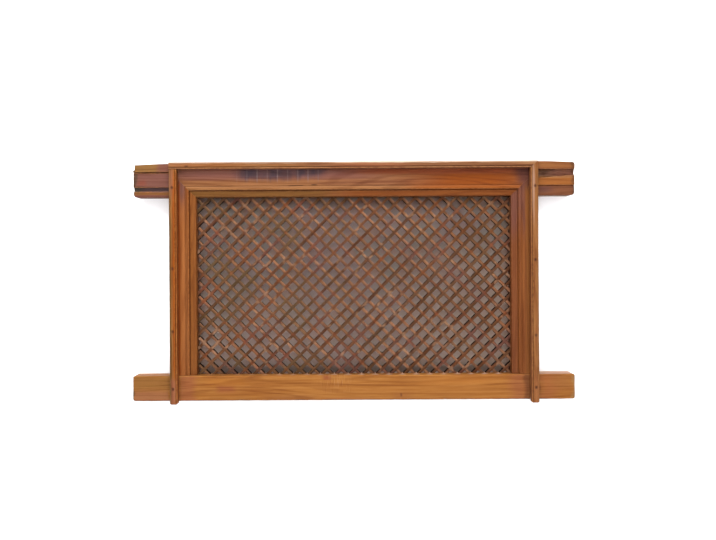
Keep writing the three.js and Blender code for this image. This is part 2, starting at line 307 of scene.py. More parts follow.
def left_horn(u, s):
    low = 20.5 + 1.3 * ripple(s / 21.0, seed=31) + 0.5 * ripple(s / 5.0, seed=32)
    high = 34.5 + 1.1 * ripple(s / 33.0, seed=33) + 0.4 * ripple(s / 6.0, seed=34)
    if low < u < high:
        centre = 1.0 - abs(2.0 * (u - low) / (high - low) - 1.0)
        return FRONT + 10.0 + 4.5 * min(1.0, 2.0 * centre)
    if u <= low:
        return FRONT + 8.0 + 0.8 * ripple(s / 40.0, u / 12.0, seed=35)
    crack = 86.0 + 0.9 * ripple(s / 26.0, seed=36)
    if crack < u < crack + 2.0:
        return FACE + 5.0
    return FACE if u < crack else FRONT + 0.4


def right_horn(u, s):
    foot = 62.0 + 8.0 * smooth(BODY, RAIL_HALF, s) + 0.8 * ripple(s / 14.0, seed=41)
    if u < 34.5:
        return FRONT + 8.0 + 0.6 * ripple(s / 35.0, u / 11.0, seed=42)
    if u < 36.0:
        return FRONT + 11.0
    if u < foot:
        return FACE - 1.2 * smooth(foot - 9.0, foot, u)
    if u < 91.5:
        splinter = 2.2 * ripple(s / 19.0, u / 2.6, seed=43)
        fade = 6.0 * smooth(20.0, 95.0, s - BODY) * smooth(foot + 6.0, 91.5, u)
        return FRONT + 14.0 + splinter - 0.8 * fade
    return FRONT + 0.4


def top_rail():
    width = TOP_RAIL_HEIGHT
    middle = framed(
        width, TOP_BATTEN, 4.0, 2.0, 1, lambda u, s: abs(HALF_OPENING + min(u, MITRE_REACH) - abs(s))
    )

    def relief(u, s):
        if abs(s) <= HORN_ROOT:
            return middle(u, s)
        horn = left_horn if s < 0.0 else right_horn
        depth = eased(lambda at: horn(at, s), u, 0.5) + weather(u, s, 2)
        depth += rounding(max(u, 0.0), 3.0 * (1.0 + nick(s, 7)))
        depth += rounding(max(width - u, 0.0), 4.5 * (1.0 + 0.5 * nick(s, 8)))
        return depth + rounding(max(0.0, end_of(s) - abs(s)), 4.0)

    def end_of(s):
        return RAIL_HALF + (-RAIL_OFFSET if s < 0.0 else RAIL_OFFSET)

    def place(u, depth, s):
        left = end_of(s) - abs(s)
        x = s
        if s < -HORN_ROOT:
            ragged = 5.0 * smooth(92.0, 96.0, u) + 1.0 * ripple(u / 9.0, seed=51)
            x += (ragged + 1.0) * smooth(60.0, 0.0, left)
        if s > HORN_ROOT:
            x -= (1.0 + ripple(u / 11.0, depth / 20.0, seed=52)) * smooth(60.0, 0.0, left)
        low = rounding(left, 11.0 if s < 0.0 else 13.0)
        high = width - rounding(left, 3.0 if s < 0.0 else 10.0)
        if abs(s) > BODY:
            high -= (3.0 if s < 0.0 else 0.0) + 4.0 * smooth(130.0, 0.0, left)
        return (x, depth, OPENING_TOP + min(max(u, low), high))

    steps = (BAND, GROOVE_END, 34.5, BEAD_END, MOULDING, 64.0, 68.0, 86.5, 88.0, 91.5, 95.0, 114.0)
    member = Member(width, levels_for(width, steps, 5.5), relief, place, stains=top_stain)
    rings = []
    for side in (-1, 1):
        half = []
        for s in spread(0.0, HALF_OPENING - 200.0, 9.0)[(side > 0):]:
            half.append(member.ring(lambda u, front, s=s: side * s))
        for s in spread(HALF_OPENING - 200.0, HALF_OPENING, 8.0)[1:]:
            share = (s - HALF_OPENING + 200.0) / 200.0
            half.append(member.ring(
                lambda u, front, s=s, share=share:
                side * (s + share * (min(u, MITRE_REACH) if front else MITRE_REACH))
            ))
        mitre = lambda u, front: side * (
            HALF_OPENING + (min(u, MITRE_REACH) if front else MITRE_REACH)
        )
        cut_back = lambda u, depth: max(depth, WING_BACK) if u < MITRE_REACH else depth
        half.append(member.ring(mitre, cut_back))
        shoulder = side * (HALF_OPENING + MITRE_REACH)
        half.append(member.ring(lambda u, front: shoulder, cut_back))
        half.append(member.ring(lambda u, front: shoulder + side * 0.4))
        half.append(member.ring(lambda u, front: side * HORN_ROOT))
        end = end_of(side)
        for s in [HORN_ROOT + 0.5, *spread(BODY - 4.0, end - 12.0, 4.5)]:
            half.append(member.ring(lambda u, front, s=s: side * s))
        for left in (9.0, 6.5, 4.5, 3.0, 1.8, 0.9, 0.3, 0.0):
            half.append(member.ring(lambda u, front, s=end - left: side * s))
        rings = half[::-1] + rings if side < 0 else rings + half
    return skin("top_rail_wood", rings)


def top_stain(u, s):
    """Water stain along the upper face, with clean streaks between its runs."""
    if abs(s) > BODY:
        return 0.0
    across = smooth(-440.0, -380.0, s) * (1.0 - smooth(-130.0, -80.0, s))
    ragged = 42.0 + 9.0 * ripple(s / 16.0, seed=61) + 16.0 * smooth(-300.0, -90.0, s)
    down = smooth(ragged, ragged + 16.0, u)
    streak = 0.45 + 0.55 * smooth(-0.25, 0.3, ripple(s / 9.5, u / 160.0, seed=62))
    return across * down * streak


def bottom_rail():
    width = BOTTOM_RAIL_HEIGHT

    def relief(u, s):
        depth = FRONT + 0.5 + weather(u, s, 11)
        depth += rounding(max(u, 0.0), 4.0 * (1.0 + 0.6 * nick(s, 12)))
        depth += rounding(max(width - u, 0.0), 4.0 * (1.0 + 0.5 * nick(s, 13)))
        scratch = smooth(-150.0, -128.0, s) * (1.0 - smooth(-40.0, -10.0, s)) * smooth(60.0, 84.0, u)
        depth += 0.5 * scratch * smooth(0.1, 0.5, ripple(s / 4.0, u / 70.0, seed=14))
        dent = math.hypot((s - 166.0) / 14.0, (u - 21.0) / 6.0)
        depth += 1.2 * (1.0 - smooth(0.3, 1.0, dent))
        return depth + rounding(max(0.0, end_of(s) - abs(s)), 4.0)

    def end_of(s):
        return RAIL_HALF + (RAIL_OFFSET if s < 0.0 else -RAIL_OFFSET)

    def place(u, depth, s):
        left = end_of(s) - abs(s)
        low = rounding(left, 10.0)
        high = width - rounding(left, 7.0 if s < 0.0 else 9.0)
        inset = (0.8 + 0.8 * ripple(u / 13.0, seed=15)) * smooth(50.0, 0.0, left)
        return (s - math.copysign(inset, s), depth, BOTTOM + min(max(u, low), high))

    member = Member(width, levels_for(width, (), 5.0), relief, place)
    member.levels = sorted({*member.levels, 3.4, 4.6, width - 4.6, width - 3.4})
    ends = (9.0, 6.5, 4.5, 3.0, 1.8, 0.9, 0.3, 0.0)
    left_end, right_end = -end_of(-1.0), end_of(1.0)
    places = [left_end + away for away in reversed(ends)]
    places += spread(left_end + 14.0, right_end - 14.0, 8.0)
    places += [right_end - away for away in ends]
    rings = [member.ring(lambda u, front, s=s: s) for s in places]
    return skin("bottom_rail_wood", rings)


def stile(side, name):
    width = STILE_WIDTH
    seed = 21 if side < 0 else 27
    relief = framed(width, SIDE_BATTEN, 4.0, 2.0, seed, lambda u, s: OPENING_TOP + min(u, MITRE_REACH) - s)

    def place(u, depth, s):
        return (side * (HALF_OPENING + u), depth, s)

    steps = (BAND, GROOVE_END, BEAD_END, MOULDING, MITRE_REACH)
    member = Member(width, levels_for(width, steps, 5.5), relief, place)
    foot = OPENING_BOTTOM + 0.3
    top = OPENING_TOP - 0.3
    rings = [
        member.ring(lambda u, front, s=s: s) for s in spread(foot, top - 200.0, 8.0)
    ]
    for s in spread(top - 200.0, top, 8.0)[1:]:
        share = (s - top + 200.0) / 200.0
        rings.append(member.ring(
            lambda u, front, s=s, share=share:
            s + (share * u if front and u < MITRE_REACH else 0.0)
        ))
    wing = lambda u, depth: max(depth, WING_BACK) if u < MITRE_REACH else depth
    rings.append(member.ring(
        lambda u, front: top + (u if front and u < MITRE_REACH else 0.0), wing
    ))
    rings.append(member.ring(lambda u, front: top, wing))
    return skin(name, rings)


# Battens

def batten_relief(width, bead_side, seed, nails=()):
    def profile(u):
        bead = width - 2.6
        if u > bead - 2.6:
            return BATTEN_FRONT + 2.6 - math.sqrt(max(0.0, 6.76 - (u - bead) ** 2))
        if u > bead - 4.6:
            return BATTEN_FRONT + 3.4
        return BATTEN_FRONT + 0.2

    def relief(u, s):
        depth = eased(profile, u, 0.4) + 0.3 * weather(u, s, seed)
        depth += rounding(max(u, 0.0), 5.5 * (1.0 + 0.35 * nick(s, seed + 2)))
        depth += 0.8 * nick(s, seed + 3, 0.4) * smooth(width - 6.0, width, u)
        for height in nails:
            away = math.hypot(u - 12.0, s - height)
            depth += 1.5 * (1.0 - smooth(2.6, 5.2, away)) - 0.25 * (1.0 - smooth(4.0, 9.0, away))
        return depth

    return relief


def nail_stain(nails):
    def stain(u, s):
        return max(1.0 - smooth(2.5, 7.0, math.hypot(u - 12.0, (s - height) * 0.8)) for height in nails)

    return stain


def top_batten():
    width = TOP_BATTEN
    relief = batten_relief(width, 1, 71)

    def place(u, depth, s):
        return (s, depth, TOP - u)

    levels = levels_for(width, (width - 5.2, width - 2.6), 3.0)
    member = Member(width, levels, relief, place, back=BATTEN_BACK)
    rings = [member.ring(lambda u, front, s=s: s) for s in spread(-BODY, 560.0, 8.0)]
    for s in spread(560.0, BODY, 8.0)[1:]:
        share = (s - 560.0) / (BODY - 560.0)
        rings.append(member.ring(
            lambda u, front, s=s, share=share:
            s - 0.4 * share - share * u * SIDE_BATTEN / TOP_BATTEN
        ))
    return skin("top_batten_wood", rings)


def side_batten(side, name, nails):
    width = SIDE_BATTEN
    relief = batten_relief(width, side, 81 if side < 0 else 91, nails)

    def place(u, depth, s):
        above = s - FOOT
        near = rounding(above, 8.0)
        depth += rounding(above, 5.0) * smooth(BATTEN_BACK, BATTEN_FRONT, depth)
        return (side * (BODY - min(max(u, near), width - near)), depth, s)

    levels = levels_for(width, (12.0, width - 5.2, width - 2.6), 2.5)
    member = Member(width, levels, relief, place, back=BATTEN_BACK, stains=nail_stain(nails))
    top = TOP - TOP_BATTEN - 0.3
    heights = {FOOT + away for away in (0.0, 0.3, 0.9, 1.8, 3.0, 4.5, 6.0, 8.0)}
    heights.update(spread(FOOT + 14.0, top if side < 0 else top - 30.0, 8.0))
    for nail in nails:
        heights.update(nail + away for away in (-6.5, -5.0, -3.8, -2.6, -1.0, 1.0, 2.6, 3.8, 5.0, 6.5))
    rows = []
    for s in sorted(heights):
        if not rows or s - rows[-1] > 0.25:
            rows.append(s)
    rings = [member.ring(lambda u, front, s=s: s) for s in rows]
    if side > 0:
        for s in spread(top - 30.0, top, 5.0)[1:]:
            share = (s - top + 30.0) / 30.0
            rings.append(member.ring(
                lambda u, front, s=s, share=share:
                s + share * (width - u) * TOP_BATTEN / SIDE_BATTEN
            ))
    return skin(name, rings)


def nail(node):
    """A hand-forged head, domed and worn, on a short shank."""
    low, high = (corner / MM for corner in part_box(node))
    x, z = (low.x + high.x) / 2.0, (low.z + high.z) / 2.0
    shape = random.Random(node)
    turn = shape.uniform(0.0, 3.0)
    profile = [(0.2, 0.0), (1.2, 0.12), (2.1, 0.45), (2.7, 0.95), (2.9, 1.6), (2.6, 2.2), (1.9, 3.0)]
    profile.append((1.7, high.y - low.y - 0.4))
    rings = []
    for radius, back in profile:
        ring = []
        for step in range(14):
            angle = turn + step * math.tau / 14
            reach = radius * (1.0 + 0.07 * ripple(step / 2.0, turn, seed=5))
            point = (x + reach * math.cos(angle), low.y + 0.3 + back, z + reach * math.sin(angle))
            ring.append((point, 0.0, 0.0, 0.0))
        rings.append(ring)
    return skin(node + "_head", rings)


# Lattice

class Bars:
    """All bars along one diagonal. Their places are shared, so that the half-laps fit."""

    def __init__(self, seed):
        chance = random.Random(seed)
        numbers = range(1 - ACROSS, HIGH)
        self.shift = {number: chance.uniform(-0.7, 0.7) for number in numbers}
        self.width = {number: BAR_WIDTH + chance.uniform(-0.9, 0.9) for number in numbers}
        self.tone = {number: chance.uniform(-1.0, 1.0) for number in numbers}
        self.lift = {number: chance.uniform(-0.3, 0.3) for number in numbers}
        self.chance = chance


STEP = PITCH / math.sqrt(2.0)
LEFT, RIGHT = -HALF_OPENING + 0.3, HALF_OPENING - 0.3
FLOOR, CEILING = OPENING_BOTTOM + 0.3, OPENING_TOP - 0.3


def rising_centre(number):
    """Distance of a rising bar from the diagonal z = x."""
    return (FIRST_Z + number * PITCH - FIRST_X) / math.sqrt(2.0)


def falling_centre(number):
    """Distance of a falling bar from the diagonal z = -x."""
    return (FIRST_Z + (number + ACROSS) * PITCH + FIRST_X) / math.sqrt(2.0)


def ends_of(across, rising):
    """Where the line at a distance across leaves the opening, measured along the bar."""
    root = math.sqrt(2.0)
    if rising:
        return max(root * LEFT + across, root * FLOOR - across), min(
            root * RIGHT + across, root * CEILING - across
        )
    return max(across - root * RIGHT, root * FLOOR - across), min(
        across - root * LEFT, root * CEILING - across
    )


def bar_rings(bars, others, number, rising):
    centre = (rising_centre if rising else falling_centre)(number) + bars.shift[number]
    other_centre = falling_centre if rising else rising_centre
    half = bars.width[number] / 2.0
    seed = number + (100 if rising else 200)
    start = max(ends_of(centre - half, rising)[0], ends_of(centre + half, rising)[0])
    stop = min(ends_of(centre - half, rising)[1], ends_of(centre + half, rising)[1])
    low_end, high_end = ends_of(centre, rising)
    stations = []
    laps = []
    for other in others.shift:
        at = other_centre(other) + others.shift[other]
        reach = others.width[other] / 2.0 + 0.12
        if low_end - reach < at < high_end + reach:
            laps.append((at, reach, abs(others.tone[other]) * 0.5))
    for at, reach, amount in sorted(laps):
        stations += [
            (at - reach - 0.15, False, amount),
            (at - reach + 0.15, True, amount),
            (at, True, 1.0),
            (at + reach - 0.15, True, amount),
            (at + reach + 0.15, False, amount),
            (at + STEP / 2.0, False, 0.0),
        ]
    kept = [(s, lapped, near) for s, lapped, near in stations if start + 0.9 < s < stop - 0.9]
    for s, place in ((start + 0.5, 0), (stop - 0.5, len(kept) + 1)):
        kept.insert(place, (s, any(abs(at - s) < reach for at, reach, _ in laps), 0.0))
    first_lap = any(abs(at - low_end) < reach for at, reach, _ in laps)
    last_lap = any(abs(at - high_end) < reach for at, reach, _ in laps)
    rows = [(None, first_lap, 0.0)] + kept + [(None, last_lap, 0.0)]
    rings = []
    for index, (s, lapped, near) in enumerate(rows):
        front = LATTICE_FRONT + bars.lift[number]
        back = LATTICE_BACK
        if lapped and rising:
            back = LATTICE_MIDDLE - 0.05
        if lapped and not rising:
            front = LATTICE_MIDDLE + 0.05
        ring = []
        for side, depth_share in (
            (-1, 0.1), (-1, 0.0), (-0.5, -0.06), (0.3, -0.06),
            (1, 0.0), (1, 0.1), (1, 0.95), (0.85, 1.0), (-0.85, 1.0), (-1, 0.95),
        ):
            depth = front + (back - front) * max(depth_share, 0.0) + min(depth_share, 0.0) * 8.0
            across = centre + side * half
            if s is None:
                at = ends_of(across, rising)[0 if index == 0 else 1]
            else:
                at = s
            across += 0.4 * ripple(at / 60.0, seed=seed) + 0.28 * ripple(at / 12.0, side, seed=seed + 1)
            depth += 0.3 * ripple(at / 14.0, side * 2.0, depth_share * 3.0, seed=seed + 2)
            depth = min(max(depth, LATTICE_FRONT - 0.4), LATTICE_BACK)
            if rising:
                x, z = (at - across) / math.sqrt(2.0), (at + across) / math.sqrt(2.0)
            else:
                x, z = (across - at) / math.sqrt(2.0), (across + at) / math.sqrt(2.0)
            x, z = min(max(x, LEFT), RIGHT), min(max(z, FLOOR), CEILING)
            ridge = 0.3 if -0.03 < depth_share <= 0.0 else 0.0
            # On the falling bars, fading out towards the right and the bottom of the lattice, the front edges
            # carry painted light: a painted highlight on the upper-right edge and a painted shade line on the
            # lower-left edge.
            if ridge and not rising:
                ridge = side * smooth(400.0, 200.0, x) * smooth(-640.0, -460.0, z)
            ring.append(((x, depth, z), ridge, near if depth_share <= 0.0 else 0.0, bars.tone[number]))
        rings.append(ring)
    return rings


def lattice_layer(name, bars, others, rising):
    whole = bmesh.new()
    layers = [whole.verts.layers.float.new(key) for key in ("ridge", "stain", "tone")]
    for number in bars.shift:
        rings = bar_rings(bars, others, number, rising)
        if len(rings) < 3:
            continue
        rows = []
        for ring in rings:
            row = []
            for place, *values in ring:
                vertex = whole.verts.new([part * MM for part in place])
                for layer, value in zip(layers, values):
                    vertex[layer] = value
                row.append(vertex)
            rows.append(row)
        for low, high in zip(rows, rows[1:]):
            for index, start in enumerate(low):
                after = (index + 1) % len(low)
                whole.faces.new((start, low[after], high[after], high[index]))
        whole.faces.new(rows[0])
        whole.faces.new(rows[-1])
    return finished(name, whole)


# Shaders

class Shader:
    """A procedural material: short calls that add nodes and return their outputs."""

    def __init__(self, name):
        self.material = bpy.data.materials.new(name)
        self.material.use_nodes = True
        self.tree = self.material.node_tree
        self.surface = self.tree.nodes["Principled BSDF"]
        self.place = self.add("ShaderNodeTexCoord").outputs["Object"]
        split = self.add("ShaderNodeSeparateXYZ", Vector=self.place)
        self.x, self.y, self.z = split.outputs

    def add(self, kind, **inputs):
        node = self.tree.nodes.new(kind)
        for key, value in inputs.items():
            self.set(node.inputs[key.replace("_", " ")], value)
        return node

    def set(self, socket, value):
        if isinstance(value, bpy.types.NodeSocket):
            self.tree.links.new(value, socket)
        else:
            socket.default_value = value

    def math(self, operation, *values, clamp=False):
        node = self.tree.nodes.new("ShaderNodeMath")
        node.operation = operation
        node.use_clamp = clamp
        for socket, value in zip(node.inputs, values):
            self.set(socket, value)
        return node.outputs[0]

    def ease(self, value, low, high, start=0.0, stop=1.0):
        node = self.tree.nodes.new("ShaderNodeMapRange")
        node.interpolation_type = "SMOOTHSTEP"
        for key, part in (
            ("Value", value), ("From Min", low), ("From Max", high), ("To Min", start), ("To Max", stop)
        ):
            self.set(node.inputs[key], part)
        return node.outputs["Result"]

    def inside(self, value, low, high, soft):
        rise = self.ease(value, low - soft, low + soft)
        fall = self.ease(value, high - soft, high + soft, 1.0, 0.0)
        return self.math("MULTIPLY", rise, fall)

    def patch(self, base, x0, x1, soft_x, z0, z1, soft_z, shade, amount):
        """Another colour over a soft-edged part of the front, in millimetres."""
        across = self.inside(self.loose_x, x0 * MM, x1 * MM, soft_x * MM)
        up = self.inside(self.loose_z, z0 * MM, z1 * MM, soft_z * MM)
        return self.mix(self.math("MULTIPLY", self.math("MULTIPLY", across, up), amount), base, shade)

    def attribute(self, name):
        node = self.tree.nodes.new("ShaderNodeAttribute")
        node.attribute_name = name
        return node.outputs["Fac"]

    def vector(self, x, y, z):
        return self.add("ShaderNodeCombineXYZ", X=x, Y=y, Z=z).outputs[0]

    def scaled(self, vector, factors):
        node = self.tree.nodes.new("ShaderNodeVectorMath")
        node.operation = "MULTIPLY"
        self.set(node.inputs[0], vector)
        node.inputs[1].default_value = factors
        return node.outputs[0]

    def noise(self, vector, factors, detail=2.0, roughness=0.5, distortion=0.0):
        node = self.add("ShaderNodeTexNoise", Vector=self.scaled(vector, factors))
        node.inputs["Scale"].default_value = 1.0
        node.inputs["Detail"].default_value = detail
        node.inputs["Roughness"].default_value = roughness
        node.inputs["Distortion"].default_value = distortion
        return node.outputs["Fac"]

    def mix(self, factor, first, second, blend="MIX"):
        node = self.tree.nodes.new("ShaderNodeMix")
        node.data_type = "RGBA"
        node.blend_type = blend
        self.set(node.inputs["Factor"], factor)
        self.set(node.inputs["A"], colour(first))
        self.set(node.inputs["B"], colour(second))
        return node.outputs["Result"]

    def finish(self, base, roughness, height=None, depth=0.0, shine=0.05):
        self.set(self.surface.inputs["Base Color"], base)
        self.set(self.surface.inputs["Roughness"], roughness)
        self.surface.inputs["Specular IOR Level"].default_value = shine
        if height is not None:
            bump = self.add("ShaderNodeBump", Height=height)
            bump.inputs["Strength"].default_value = 1.0
            bump.inputs["Distance"].default_value = depth
            self.set(self.surface.inputs["Normal"], bump.outputs["Normal"])
        return self.material


# Share of the studio's light that gives the colours their listed look
WOOD_SHARE = 0.385


def linear(part):
    part /= 255.0
    return part / 12.92 if part <= 0.04045 else ((part + 0.055) / 1.055) ** 2.4


def colour(value):
    """A colour as it is seen, in three numbers up to 255, or a socket left as it is."""
    if isinstance(value, tuple) and len(value) == 3:
        return (*[linear(part) * WOOD_SHARE for part in value], 1.0)
    return value


def wood(name, axis, dark, middle, light, patches=(), paint=None, contrast=1.0):
    """Old waxed softwood. The axis says along which direction the grain runs."""
    shader = Shader(name)
    if axis == "X":
        grain = shader.vector(shader.x, shader.z, shader.y)
        along, across = shader.x, shader.z
    elif axis == "Z":
        grain = shader.vector(shader.z, shader.x, shader.y)
        along, across = shader.z, shader.x
    else:
        turned = shader.add("ShaderNodeVectorRotate", Vector=shader.place)
        turned.rotation_type = "Y_AXIS"
        turned.inputs["Angle"].default_value = math.radians(45.0 if axis == "RISE" else -45.0)
        parts = shader.add("ShaderNodeSeparateXYZ", Vector=turned.outputs[0]).outputs
        grain = shader.vector(parts[0], parts[2], parts[1])
    if patches:
        sway = shader.noise(grain, (16.0, 70.0, 70.0), detail=2.0)
        drift = shader.noise(grain, (5.0, 22.0, 22.0), detail=2.0)
        far = shader.math("MULTIPLY_ADD", drift, 0.05, -0.025)
        near = shader.math("MULTIPLY_ADD", sway, 0.008, -0.004)
        shifted = shader.math("ADD", along, far), shader.math("ADD", across, near)
        shader.loose_x, shader.loose_z = shifted if axis == "X" else shifted[::-1]
    rings = shader.noise(grain, (0.9, 16.0, 16.0), detail=1.0, distortion=0.4)
    lines = shader.math("SINE", shader.math("MULTIPLY", rings, 62.0))
    late = shader.ease(lines, 0.15, 0.95)
    streaks = shader.noise(grain, (4.5, 130.0, 130.0), detail=3.0, roughness=0.6)
    broad = shader.noise(grain, (2.2, 26.0, 26.0), detail=2.0)
    fibre = shader.noise(grain, (26.0, 900.0, 900.0), detail=2.0, roughness=0.65)
    base = shader.mix(shader.ease(broad, 0.3, 0.7), dark, middle)
    base = shader.mix(shader.ease(streaks, 0.38, 0.72), base, light)
    plain = base
    for row in patches:
        base = shader.patch(base, *row)
    if paint:
        base = paint(shader, base)
    if patches:
        base = shader.mix(shader.ease(shader.y, -0.043, -0.036, 1.0, 0.0), plain, base)
    base = shader.mix(shader.math("MULTIPLY", late, 0.5), base, LATE_WOOD, "MULTIPLY")
    base = shader.mix(shader.ease(fibre, 0.5, 0.75, 0.0, 0.5), base, LATE_WOOD, "MULTIPLY")
    base = shader.mix(shader.ease(streaks, 0.5, 0.3, 0.0, 0.35), base, LATE_WOOD, "MULTIPLY")
    ridge = shader.attribute("ridge")
    rub = shader.noise(shader.place, (90.0, 90.0, 90.0), detail=2.0)
    # Lighter on raised edges: rubbed wear, and on the falling bars' upper-right edges a painted highlight.
    worn = shader.math(
        "MULTIPLY", shader.ease(ridge, 0.15, 0.9, 0.0, contrast), shader.ease(rub, 0.35, 0.65, 0.1, 0.7)
    )
    base = shader.mix(worn, base, (light[0] * 1.12 + 10.0, light[1] * 1.12 + 5.0, light[2] * 1.1))
    # Darker in the hollows of the relief: dirt with painted shade, and on the falling bars' lower-left edges
    # painted shade.
    hollow_dirt_and_shade = shader.ease(ridge, -0.1, -0.9, 0.0, 0.55 * contrast)
    base = shader.mix(hollow_dirt_and_shade, base, (84.0, 42.0, 20.0))
    height = shader.math("ADD", shader.math("MULTIPLY", fibre, 0.35), shader.math("MULTIPLY", streaks, 0.6))
    height = shader.math("SUBTRACT", height, shader.math("MULTIPLY", late, 0.12))
    roughness = shader.ease(streaks, 0.3, 0.75, 0.4, 0.56)
    return shader.finish(base, roughness, height, 0.0007, 0.05 if patches else 0.0)


# How the dark lines of the late wood change the colour under them
LATE_WOOD = (0.66, 0.56, 0.5, 1.0)

# Patches of colour on the pieces: left, right, softness, bottom, top, softness, colour, amount
TOP_RAIL_PATCHES = (
    (-650, 60, 120, 4, 40, 12, (166, 108, 96), 0.8),
    (-620, -120, 90, -40, -6, 9, (168, 112, 68), 0.7),
    (240, 600, 130, -40, 20, 8, (156, 76, 14), 0.9),
    (20, 600, 90, 18, 40, 7, (168, 78, 42), 0.75),
    # Painted shade in the top right corner, under the battens.
    (572, 640, 22, -20, 40, 14, (94, 56, 54), 0.75),
    (-640, 200, 60, -36, -22, 3, (176, 120, 72), 0.6),
    (200, 640, 80, -36, -22, 3, (172, 96, 40), 0.6),
    (-640, -60, 80, -70, -38, 3, (124, 82, 32), 0.8),
    (-60, 640, 80, -70, -38, 3, (134, 70, 20), 0.85),
    (-228, -176, 5, -23, -20, 1.2, (66, 36, 24), 0.85),
    (-148, -128, 5, -23, -19, 1.4, (60, 32, 22), 0.85),
    (-790, -684, 12, 27, 60, 2, (152, 110, 60), 0.85),
    (-686, -640, 10, 27, 60, 2, (138, 88, 74), 0.8),
    # Painted shade with dirt, under the left horn's top band.
    (-790, -640, 5, 22, 27, 2, (74, 46, 40), 0.6),
    (-790, -640, 5, -26, 22, 3, (134, 87, 78), 0.85),
    (-756, -726, 8, -18, -2, 6, (152, 78, 58), 0.6),
    (-790, -640, 5, -41, -25, 3, (92, 78, 84), 0.85),
    (-790, -735, 14, -44, -22, 4, (68, 74, 56), 0.6),
    (-790, -640, 5, -52, -42, 3, (144, 94, 46), 0.75),
    (-790, -640, 5, -64, -52, 4, (120, 74, 70), 0.7),
    (-790, -762, 4, -64, 60, 5, (70, 66, 46), 0.6),
    (644, 800, 5, 34, 64, 3, (162, 102, 56), 0.85),
    (644, 716, 26, 6, 30, 4, (116, 86, 66), 0.85),
    (690, 800, 26, 8, 30, 4, (148, 96, 78), 0.8),
    (644, 800, 5, 0, 8, 3, (182, 126, 78), 0.7),
    (644, 800, 5, -25, 1, 2, (172, 104, 48), 0.9),
    (644, 800, 5, -64, -28, 3, (132, 80, 54), 0.8),
    (644, 690, 26, -50, -26, 5, (108, 70, 66), 0.6),
    (764, 790, 4, -64, 60, 5, (96, 66, 44), 0.6),
)
BOTTOM_RAIL_PATCHES = (
    (-612, -556, 16, -776, -684, 6, (166, 98, 62), 0.7),
    (548, 604, 26, -776, -684, 6, (166, 98, 64), 0.6),
    # Darker beside the right batten.
    (594, 640, 8, -776, -684, 6, (112, 66, 42), 0.7),
    (-474, -420, 14, -742, -720, 9, (158, 84, 54), 0.6),
    (-512, -380, 30, -716, -696, 8, (188, 116, 44), 0.5),
    (164, 171, 3, -760, -748, 4, (84, 46, 34), 0.85),
    (140, 200, 20, -770, -746, 8, (158, 94, 52), 0.4),
    (-112, -84, 8, -700, -686, 4, (148, 68, 48), 0.6),
    (-100, 60, 40, -778, -764, 4, (154, 94, 60), 0.5),
    (-300, -130, 60, -772, -752, 8, (160, 102, 60), 0.4),
    (250, 480, 60, -716, -690, 10, (192, 120, 50), 0.5),
    (-790, -645, 6, -735, -684, 16, (154, 106, 54), 0.75),
    (-790, -645, 6, -780, -738, 12, (172, 114, 80), 0.7),
    (644, 700, 26, -776, -684, 10, (176, 104, 62), 0.6),
    (690, 752, 20, -740, -684, 14, (164, 104, 56), 0.6),
    (756, 766, 3, -770, -690, 6, (168, 140, 98), 0.45),
    (-790, -768, 4, -780, -680, 6, (86, 82, 52), 0.65),
    (766, 790, 3, -780, -680, 6, (104, 88, 62), 0.6),
    # Painted shade along the lower arris of the bottom rail.
    (-768, 768, 4, -776, -769.5, 1.5, (104, 74, 54), 0.75),
)
LEFT_STILE_PATCHES = (
    (-618, -590, 7, -130, 40, 50, (132, 88, 78), 0.8),
    # Painted shade line beside the left batten's inner edge.
    (-618, -606, 3, -700, 0, 20, (150, 68, 14), 0.9),
    # Painted light: a lighter band beside the left batten that offsets the shade it casts.
    (-607, -590, 4, -700, -70, 40, (188, 114, 58), 0.8),
    (-596, -587, 4, -700, -100, 40, (170, 104, 56), 0.5),
    (-573, -551, 2, -700, -40, 20, (148, 88, 38), 0.7),
    (-587, -574, 2, -700, -90, 60, (152, 92, 48), 0.6),
)
RIGHT_STILE_PATCHES = (
    (551, 573, 2, -700, -40, 20, (134, 76, 44), 0.7),
    (551, 600, 6, -190, 10, 50, (124, 78, 68), 0.7),
    # Painted light: a lighter strip beside the right batten that offsets the shade it casts.
    (602, 616, 4, -700, 40, 20, (146, 90, 44), 0.8),
    (574, 592, 3, -700, -120, 40, (146, 84, 42), 0.6),
    # Painted shade in the top right corner, under the battens.
    (580, 640, 18, -30, 40, 20, (98, 58, 50), 0.7),
)
LEFT_BATTEN_PATCHES = (
    (-643, -633, 2, -800, 40, 9, (114, 84, 42), 0.9),
    (-627, -619, 2, -690, 20, 40, (166, 80, 16), 0.9),
    (-640, -626, 4, -60, 40, 40, (172, 112, 84), 0.6),
    (-636, -615, 4, -800, -690, 12, (166, 100, 74), 0.7),
    # Painted shade line along the batten's inner edge.
    (-619, -612, 2, -800, 20, 9, (140, 64, 24), 0.6),
)
RIGHT_BATTEN_PATCHES = (
    # Painted shade line along the batten's inner edge.
    (612, 621, 2, -800, 40, 9, (140, 84, 54), 0.7),
    (618, 627, 2, -120, 60, 70, (198, 156, 132), 0.7),
    (632, 641, 2, -800, 40, 9, (162, 110, 64), 0.7),
    (616, 640, 5, -800, -690, 16, (166, 102, 60), 0.6),
)
TOP_BATTEN_PATCHES = (
    (-650, -400, 80, 40, 53, 3, (172, 106, 58), 0.6),
    (-540, -180, 60, 40, 53, 3, (164, 106, 54), 0.5),
    (-60, 200, 60, 36, 54, 3, (168, 100, 66), 0.6),
    (200, 560, 60, 36, 52, 3, (136, 86, 54), 0.6),
    (-582, -572, 3, 42, 48, 2, (84, 46, 26), 0.7),
    # Painted shade along the lower edge of the top batten.
    (-650, 650, 9, 30, 38, 1.5, (110, 62, 40), 0.7),
)


